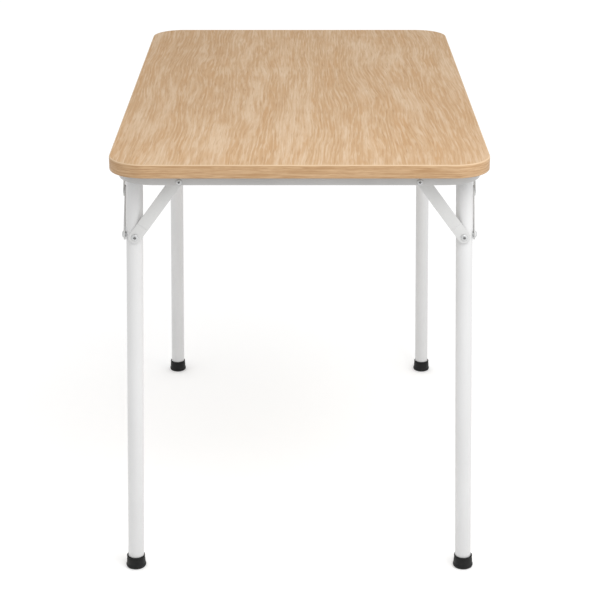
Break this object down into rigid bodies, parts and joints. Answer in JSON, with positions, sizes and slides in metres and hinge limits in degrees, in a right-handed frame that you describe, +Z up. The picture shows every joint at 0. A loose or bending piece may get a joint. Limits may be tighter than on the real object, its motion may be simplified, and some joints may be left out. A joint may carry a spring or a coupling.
{
  "type": "folding-leg table",
  "caption": "Rectangular table with a rounded laminated top on two tubular leg frames that fold flat under it, held open by straight jointed stays.",
  "frame": {"origin": "on the floor under the middle of the top", "axes": "+X to the right across the table, +Y along its length away from the near end, +Z up"},
  "size_m": [0.6, 1, 0.74],
  "materials": {
    "laminate": "satin oak-look laminate, grain along the length",
    "edge_band": "satin oak-look edge band, grain along the edge",
    "core": "bare particle board",
    "backing": "plain matt backing sheet",
    "frame_steel": "pale grey powder coat, satin",
    "bow_steel": "grey powder coat, satin",
    "bracket_steel": "pale grey powder coat, satin",
    "rivet": "bright zinc",
    "rubber_foot": "matt black moulded rubber",
    "plastic_cap": "matt black moulded plastic"
  },
  "bodies": {
    "table_top": {"top_laminate": "laminate", "top_core": "core", "top_backing": "backing", "edge_band": "edge_band", "near_end_bow": "bow_steel", "far_end_bow": "bow_steel", "near_left_hanger": "bracket_steel", "near_left_bow_rivet": "rivet", "near_left_anchor_rivet": "rivet", "near_right_hanger": "bracket_steel", "near_right_bow_rivet": "rivet", "near_right_anchor_rivet": "rivet", "far_left_hanger": "bracket_steel", "far_left_bow_rivet": "rivet", "far_left_anchor_rivet": "rivet", "far_left_anchor_plate": "bracket_steel", "far_right_hanger": "bracket_steel", "far_right_bow_rivet": "rivet", "far_right_anchor_rivet": "rivet", "far_right_anchor_plate": "bracket_steel"},
    "near_left_lower_stay": {"near_left_lower_stay_link": "frame_steel"},
    "near_left_upper_stay": {"near_left_upper_stay_link": "frame_steel", "near_left_knuckle_rivet": "rivet"},
    "near_right_lower_stay": {"near_right_lower_stay_link": "frame_steel"},
    "near_right_upper_stay": {"near_right_upper_stay_link": "frame_steel", "near_right_knuckle_rivet": "rivet"},
    "near_leg_frame": {"near_cross_tube": "frame_steel", "near_left_leg": "frame_steel", "near_left_leg_cap": "plastic_cap", "near_left_ferrule": "rubber_foot", "near_left_brace": "frame_steel", "near_left_brace_rivet": "rivet", "near_left_leg_pivot_rivet": "rivet", "near_right_leg": "frame_steel", "near_right_leg_cap": "plastic_cap", "near_right_ferrule": "rubber_foot", "near_right_brace": "frame_steel", "near_right_brace_rivet": "rivet", "near_right_leg_pivot_rivet": "rivet"},
    "far_left_lower_stay": {"far_left_lower_stay_link": "frame_steel"},
    "far_left_upper_stay": {"far_left_upper_stay_link": "frame_steel", "far_left_knuckle_rivet": "rivet"},
    "far_right_lower_stay": {"far_right_lower_stay_link": "frame_steel"},
    "far_right_upper_stay": {"far_right_upper_stay_link": "frame_steel", "far_right_knuckle_rivet": "rivet"},
    "far_leg_frame": {"far_cross_tube": "frame_steel", "far_left_leg": "frame_steel", "far_left_leg_cap": "plastic_cap", "far_left_ferrule": "rubber_foot", "far_left_brace": "frame_steel", "far_left_brace_rivet": "rivet", "far_left_leg_pivot_rivet": "rivet", "far_right_leg": "frame_steel", "far_right_leg_cap": "plastic_cap", "far_right_ferrule": "rubber_foot", "far_right_brace": "frame_steel", "far_right_brace_rivet": "rivet", "far_right_leg_pivot_rivet": "rivet"}
  },
  "joints": [
    {"name": "near_leg_frame_fold", "type": "hinge", "parent": "table_top", "child": "near_leg_frame", "pos_m": [0, -0.432, 0.703], "axis": [1, 0, 0], "range_deg": [0, 89.5]},
    {"name": "near_left_lower_stay_pivot", "type": "hinge", "parent": "near_leg_frame", "child": "near_left_lower_stay", "pos_m": [-0.28101, -0.432, 0.605], "axis": [1, 0, 0], "range_deg": [0, 44.1]},
    {"name": "near_left_upper_stay_pivot", "type": "hinge", "parent": "table_top", "child": "near_left_upper_stay", "pos_m": [-0.28351, -0.357, 0.7065], "axis": [-1, 0, 0], "range_deg": [0, 38.7]},
    {"name": "near_right_lower_stay_pivot", "type": "hinge", "parent": "near_leg_frame", "child": "near_right_lower_stay", "pos_m": [0.28101, -0.432, 0.605], "axis": [1, 0, 0], "range_deg": [0, 44.1]},
    {"name": "near_right_upper_stay_pivot", "type": "hinge", "parent": "table_top", "child": "near_right_upper_stay", "pos_m": [0.28351, -0.357, 0.7065], "axis": [-1, 0, 0], "range_deg": [0, 38.7]},
    {"name": "far_leg_frame_fold", "type": "hinge", "parent": "table_top", "child": "far_leg_frame", "pos_m": [0, 0.432, 0.665], "axis": [-1, 0, 0], "range_deg": [0, 89.5]},
    {"name": "far_left_lower_stay_pivot", "type": "hinge", "parent": "far_leg_frame", "child": "far_left_lower_stay", "pos_m": [-0.27316, 0.432, 0.567], "axis": [-1, 0, 0], "range_deg": [0, 44.1]},
    {"name": "far_left_upper_stay_pivot", "type": "hinge", "parent": "table_top", "child": "far_left_upper_stay", "pos_m": [-0.27566, 0.357, 0.6685], "axis": [1, 0, 0], "range_deg": [0, 38.7]},
    {"name": "far_right_lower_stay_pivot", "type": "hinge", "parent": "far_leg_frame", "child": "far_right_lower_stay", "pos_m": [0.27316, 0.432, 0.567], "axis": [-1, 0, 0], "range_deg": [0, 44.1]},
    {"name": "far_right_upper_stay_pivot", "type": "hinge", "parent": "table_top", "child": "far_right_upper_stay", "pos_m": [0.27566, 0.357, 0.6685], "axis": [1, 0, 0], "range_deg": [0, 38.7]}
  ],
  "couplings": [
    {"joint": "near_left_lower_stay_pivot", "follows": "near_leg_frame_fold", "ratio": 0.49174},
    {"joint": "near_left_upper_stay_pivot", "follows": "near_leg_frame_fold", "ratio": 0.43155},
    {"joint": "near_right_lower_stay_pivot", "follows": "near_leg_frame_fold", "ratio": 0.49174},
    {"joint": "near_right_upper_stay_pivot", "follows": "near_leg_frame_fold", "ratio": 0.43155},
    {"joint": "far_left_lower_stay_pivot", "follows": "far_leg_frame_fold", "ratio": 0.49174},
    {"joint": "far_left_upper_stay_pivot", "follows": "far_leg_frame_fold", "ratio": 0.43155},
    {"joint": "far_right_lower_stay_pivot", "follows": "far_leg_frame_fold", "ratio": 0.49174},
    {"joint": "far_right_upper_stay_pivot", "follows": "far_leg_frame_fold", "ratio": 0.43155}
  ]
}
